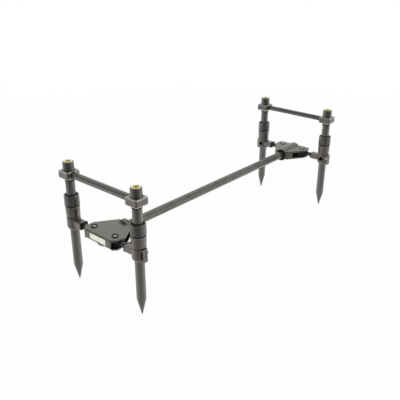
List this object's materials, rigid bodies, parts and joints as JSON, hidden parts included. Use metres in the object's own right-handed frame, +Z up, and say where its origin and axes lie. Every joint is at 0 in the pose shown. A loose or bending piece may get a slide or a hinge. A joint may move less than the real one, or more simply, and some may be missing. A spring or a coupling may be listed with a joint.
{
  "type": "rod pod",
  "caption": "Folding rod pod: a long round bar joins goalposts whose pointed legs slide in twist-lock collars, with clamshell hubs, buzz bars and threaded brass heads for rod rests.",
  "frame": {"origin": "bottom centre of the bounding box: on the ground, midway between the leg tips", "axes": "+X across the stand from leg to leg, +Y along the main bar from the near goalpost to the far one, +Z up"},
  "size_m": [0.1906, 0.593, 0.2233],
  "materials": {
    "hub_shell": "satin gunmetal",
    "cast_block": "satin gunmetal",
    "turned_collar": "satin gunmetal, turned",
    "leg_tube": "satin gunmetal tube",
    "bar_tube": "satin gunmetal tube, fluted",
    "bare_aluminium": "satin",
    "black_plastic": "matte",
    "black_rubber": "matte",
    "bright_steel": "bright",
    "dark_steel": "blackened",
    "brass": "turned"
  },
  "bodies": {
    "bar_and_hubs": {"main_bar": "bar_tube", "near_hub_top": "hub_shell", "near_hub_bottom": "hub_shell", "near_bar_bush": "black_plastic", "near_hub_inserts": "black_plastic", "near_hub_screws": "bright_steel", "near_left_stub": "bare_aluminium", "near_right_stub": "bare_aluminium", "far_hub_top": "hub_shell", "far_hub_bottom": "hub_shell", "far_bar_bush": "black_plastic", "far_hub_inserts": "black_plastic", "far_hub_screws": "bright_steel", "far_left_stub": "bare_aluminium", "far_right_stub": "bare_aluminium"},
    "near_carrier": {"near_left_t_block": "cast_block", "near_right_t_block": "cast_block", "near_arm_gaskets": "black_rubber", "near_mid_seals": "black_rubber", "near_collets": "black_plastic", "near_ear_screws": "dark_steel", "near_grub_screws": "dark_steel"},
    "near_leg_frame": {"near_left_leg": "leg_tube", "near_right_leg": "leg_tube", "near_leg_plugs": "bare_aluminium", "near_o_rings": "black_rubber", "near_left_block": "cast_block", "near_right_block": "cast_block", "near_buzz_bar": "leg_tube"},
    "near_left_lock_nut": {"near_left_nut": "turned_collar", "near_left_wiper": "black_rubber"},
    "near_left_head": {"near_left_knob": "turned_collar", "near_left_brass": "brass"},
    "near_right_lock_nut": {"near_right_nut": "turned_collar", "near_right_wiper": "black_rubber"},
    "near_right_head": {"near_right_knob": "turned_collar", "near_right_brass": "brass"},
    "far_carrier": {"far_left_t_block": "cast_block", "far_right_t_block": "cast_block", "far_arm_gaskets": "black_rubber", "far_mid_seals": "black_rubber", "far_collets": "black_plastic", "far_ear_screws": "dark_steel", "far_grub_screws": "dark_steel"},
    "far_leg_frame": {"far_left_leg": "leg_tube", "far_right_leg": "leg_tube", "far_leg_plugs": "bare_aluminium", "far_o_rings": "black_rubber", "far_left_block": "cast_block", "far_right_block": "cast_block", "far_buzz_bar": "leg_tube"},
    "far_left_lock_nut": {"far_left_nut": "turned_collar", "far_left_wiper": "black_rubber"},
    "far_left_head": {"far_left_knob": "turned_collar", "far_left_brass": "brass"},
    "far_right_lock_nut": {"far_right_nut": "turned_collar", "far_right_wiper": "black_rubber"},
    "far_right_head": {"far_right_knob": "turned_collar", "far_right_brass": "brass"}
  },
  "joints": [
    {"name": "near_fold", "type": "hinge", "parent": "bar_and_hubs", "child": "near_carrier", "pos_m": [0, -0.28, 0.114], "axis": [1, 0, 0], "range_deg": [-75, 90]},
    {"name": "near_leg_slide", "type": "slide", "parent": "near_carrier", "child": "near_leg_frame", "axis": [0, 0, 1], "range_m": [-0.0215, 0.065]},
    {"name": "near_left_nut_turn", "type": "hinge", "parent": "near_carrier", "child": "near_left_lock_nut", "pos_m": [-0.081, -0.28, 0.156], "axis": [0, 0, 1], "range_deg": [0, 90]},
    {"name": "near_left_head_turn", "type": "hinge", "parent": "near_leg_frame", "child": "near_left_head", "pos_m": [-0.081, -0.28, 0.2155], "axis": [0, 0, 1], "range_deg": [0, 180]},
    {"name": "near_right_nut_turn", "type": "hinge", "parent": "near_carrier", "child": "near_right_lock_nut", "pos_m": [0.081, -0.28, 0.156], "axis": [0, 0, 1], "range_deg": [0, 90]},
    {"name": "near_right_head_turn", "type": "hinge", "parent": "near_leg_frame", "child": "near_right_head", "pos_m": [0.081, -0.28, 0.2155], "axis": [0, 0, 1], "range_deg": [0, 180]},
    {"name": "far_fold", "type": "hinge", "parent": "bar_and_hubs", "child": "far_carrier", "pos_m": [0, 0.28, 0.114], "axis": [-1, 0, 0], "range_deg": [-75, 90]},
    {"name": "far_leg_slide", "type": "slide", "parent": "far_carrier", "child": "far_leg_frame", "axis": [0, 0, 1], "range_m": [-0.0215, 0.065]},
    {"name": "far_left_nut_turn", "type": "hinge", "parent": "far_carrier", "child": "far_left_lock_nut", "pos_m": [-0.081, 0.28, 0.156], "axis": [0, 0, 1], "range_deg": [0, 90]},
    {"name": "far_left_head_turn", "type": "hinge", "parent": "far_leg_frame", "child": "far_left_head", "pos_m": [-0.081, 0.28, 0.2155], "axis": [0, 0, 1], "range_deg": [0, 180]},
    {"name": "far_right_nut_turn", "type": "hinge", "parent": "far_carrier", "child": "far_right_lock_nut", "pos_m": [0.081, 0.28, 0.156], "axis": [0, 0, 1], "range_deg": [0, 90]},
    {"name": "far_right_head_turn", "type": "hinge", "parent": "far_leg_frame", "child": "far_right_head", "pos_m": [0.081, 0.28, 0.2155], "axis": [0, 0, 1], "range_deg": [0, 180]}
  ]
}
